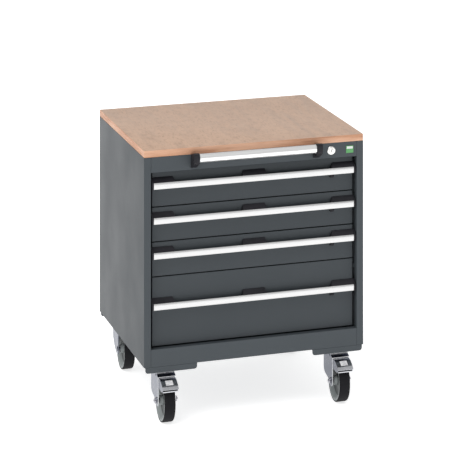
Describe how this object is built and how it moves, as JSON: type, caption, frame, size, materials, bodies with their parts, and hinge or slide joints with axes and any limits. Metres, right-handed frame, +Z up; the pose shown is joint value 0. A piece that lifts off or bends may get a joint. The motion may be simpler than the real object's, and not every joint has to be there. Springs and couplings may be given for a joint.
{
  "type": "mobile drawer cabinet",
  "caption": "Mobile workshop drawer cabinet: folded steel housing, full-width strip-handle drawers, central lock, push handle, wooden worktop and castors with foot brakes.",
  "frame": {"origin": "on the floor, under the middle of the whole object's box, brake pedals included", "axes": "+Z up, +X to the right as seen from the front, -Y towards the front where the drawers open"},
  "size_m": [0.65, 0.6966, 0.785],
  "materials": {
    "paint": "fine-textured anthracite powder coat",
    "worktop": "beech plywood, clear lacquer, bare layered edges",
    "aluminium": "satin anodised",
    "black": "fine-grained moulded",
    "zinc": "bright zinc plate",
    "lock": "nickel plate",
    "rim": "moulded grey polyamide",
    "tyre": "smooth black solid rubber",
    "badge": "green enamel"
  },
  "bodies": {
    "housing": {"worktop": "worktop", "side_panel_left": "paint", "side_panel_right": "paint", "back_panel": "paint", "roof_panel": "paint", "floor_panel": "paint", "top_rail": "paint", "bottom_rail": "paint", "castor_rail_left": "paint", "castor_rail_right": "paint", "runner_rack_left": "paint", "runner_rack_right": "paint", "push_handle_tube": "aluminium", "push_handle_bracket_left": "black", "push_handle_bracket_right": "black", "lock_housing": "lock", "badge_plate": "badge", "castor_front_left_plate": "zinc", "castor_front_right_plate": "zinc", "castor_rear_left_fork": "zinc", "castor_rear_left_axle": "zinc", "castor_rear_right_fork": "zinc", "castor_rear_right_axle": "zinc"},
    "drawer_1": {"drawer_1_tray": "paint", "drawer_1_front": "paint", "drawer_1_handle": "aluminium", "drawer_1_grip": "black"},
    "drawer_2": {"drawer_2_tray": "paint", "drawer_2_front": "paint", "drawer_2_handle": "aluminium", "drawer_2_grip": "black"},
    "drawer_3": {"drawer_3_tray": "paint", "drawer_3_front": "paint", "drawer_3_handle": "aluminium", "drawer_3_grip": "black"},
    "drawer_4": {"drawer_4_tray": "paint", "drawer_4_front": "paint", "drawer_4_handle": "aluminium", "drawer_4_grip": "black"},
    "latch_1": {"drawer_1_latch": "black"},
    "latch_2": {"drawer_2_latch": "black"},
    "latch_3": {"drawer_3_latch": "black"},
    "latch_4": {"drawer_4_latch": "black"},
    "lock_barrel": {"lock_plug": "lock"},
    "lock_bar": {"locking_bar": "paint"},
    "castor_front_left_swivel": {"castor_front_left_fork": "zinc", "castor_front_left_axle": "zinc"},
    "castor_front_left_roller": {"castor_front_left_wheel": "rim", "castor_front_left_tyre": "tyre"},
    "castor_front_left_brake": {"castor_front_left_pedal": "zinc"},
    "castor_front_right_swivel": {"castor_front_right_fork": "zinc", "castor_front_right_axle": "zinc"},
    "castor_front_right_roller": {"castor_front_right_wheel": "rim", "castor_front_right_tyre": "tyre"},
    "castor_front_right_brake": {"castor_front_right_pedal": "zinc"},
    "castor_rear_left_roller": {"castor_rear_left_wheel": "rim", "castor_rear_left_tyre": "tyre"},
    "castor_rear_right_roller": {"castor_rear_right_wheel": "rim", "castor_rear_right_tyre": "tyre"}
  },
  "joints": [
    {"name": "drawer_1_slide", "type": "slide", "parent": "housing", "child": "drawer_1", "axis": [0, -1, 0], "range_m": [0, 0.45]},
    {"name": "drawer_2_slide", "type": "slide", "parent": "housing", "child": "drawer_2", "axis": [0, -1, 0], "range_m": [0, 0.45]},
    {"name": "drawer_3_slide", "type": "slide", "parent": "housing", "child": "drawer_3", "axis": [0, -1, 0], "range_m": [0, 0.45]},
    {"name": "drawer_4_slide", "type": "slide", "parent": "housing", "child": "drawer_4", "axis": [0, -1, 0], "range_m": [0, 0.45]},
    {"name": "latch_1_press", "type": "hinge", "parent": "drawer_1", "child": "latch_1", "pos_m": [0.2325, -0.2828, 0.6704], "axis": [-1, 0, 0], "range_deg": [0, 6], "stiffness_Nm_per_rad": 0.05},
    {"name": "latch_2_press", "type": "hinge", "parent": "drawer_2", "child": "latch_2", "pos_m": [0.2325, -0.2828, 0.5704], "axis": [-1, 0, 0], "range_deg": [0, 6], "stiffness_Nm_per_rad": 0.05},
    {"name": "latch_3_press", "type": "hinge", "parent": "drawer_3", "child": "latch_3", "pos_m": [0.2325, -0.2828, 0.4704], "axis": [-1, 0, 0], "range_deg": [0, 6], "stiffness_Nm_per_rad": 0.05},
    {"name": "latch_4_press", "type": "hinge", "parent": "drawer_4", "child": "latch_4", "pos_m": [0.2325, -0.2828, 0.3244], "axis": [-1, 0, 0], "range_deg": [0, 6], "stiffness_Nm_per_rad": 0.05},
    {"name": "lock_turn", "type": "hinge", "parent": "housing", "child": "lock_barrel", "pos_m": [0.2275, -0.3015, 0.7435], "axis": [0, -1, 0], "range_deg": [0, 90]},
    {"name": "locking_bar_lift", "type": "slide", "parent": "housing", "child": "lock_bar", "axis": [0, 0, 1], "range_m": [0, 0.008]},
    {"name": "castor_front_left_swivel_turn", "type": "hinge", "parent": "housing", "child": "castor_front_left_swivel", "pos_m": [-0.258, -0.2335, 0.15], "axis": [0, 0, 1], "continuous": true},
    {"name": "castor_front_left_wheel_spin", "type": "hinge", "parent": "castor_front_left_swivel", "child": "castor_front_left_roller", "pos_m": [-0.258, -0.2785, 0.0625], "axis": [1, 0, 0], "continuous": true},
    {"name": "castor_front_left_pedal_press", "type": "hinge", "parent": "castor_front_left_swivel", "child": "castor_front_left_brake", "pos_m": [-0.258, -0.2665, 0.133], "axis": [1, 0, 0], "range_deg": [0, 4]},
    {"name": "castor_front_right_swivel_turn", "type": "hinge", "parent": "housing", "child": "castor_front_right_swivel", "pos_m": [0.258, -0.2335, 0.15], "axis": [0, 0, 1], "continuous": true},
    {"name": "castor_front_right_wheel_spin", "type": "hinge", "parent": "castor_front_right_swivel", "child": "castor_front_right_roller", "pos_m": [0.258, -0.2785, 0.0625], "axis": [1, 0, 0], "continuous": true},
    {"name": "castor_front_right_pedal_press", "type": "hinge", "parent": "castor_front_right_swivel", "child": "castor_front_right_brake", "pos_m": [0.258, -0.2665, 0.133], "axis": [1, 0, 0], "range_deg": [0, 4]},
    {"name": "castor_rear_left_wheel_spin", "type": "hinge", "parent": "housing", "child": "castor_rear_left_roller", "pos_m": [-0.258, 0.2805, 0.0625], "axis": [1, 0, 0], "continuous": true},
    {"name": "castor_rear_right_wheel_spin", "type": "hinge", "parent": "housing", "child": "castor_rear_right_roller", "pos_m": [0.258, 0.2805, 0.0625], "axis": [1, 0, 0], "continuous": true}
  ],
  "couplings": [
    {"joint": "lock_turn", "follows": "locking_bar_lift", "rad_per_m": 196.3}
  ]
}
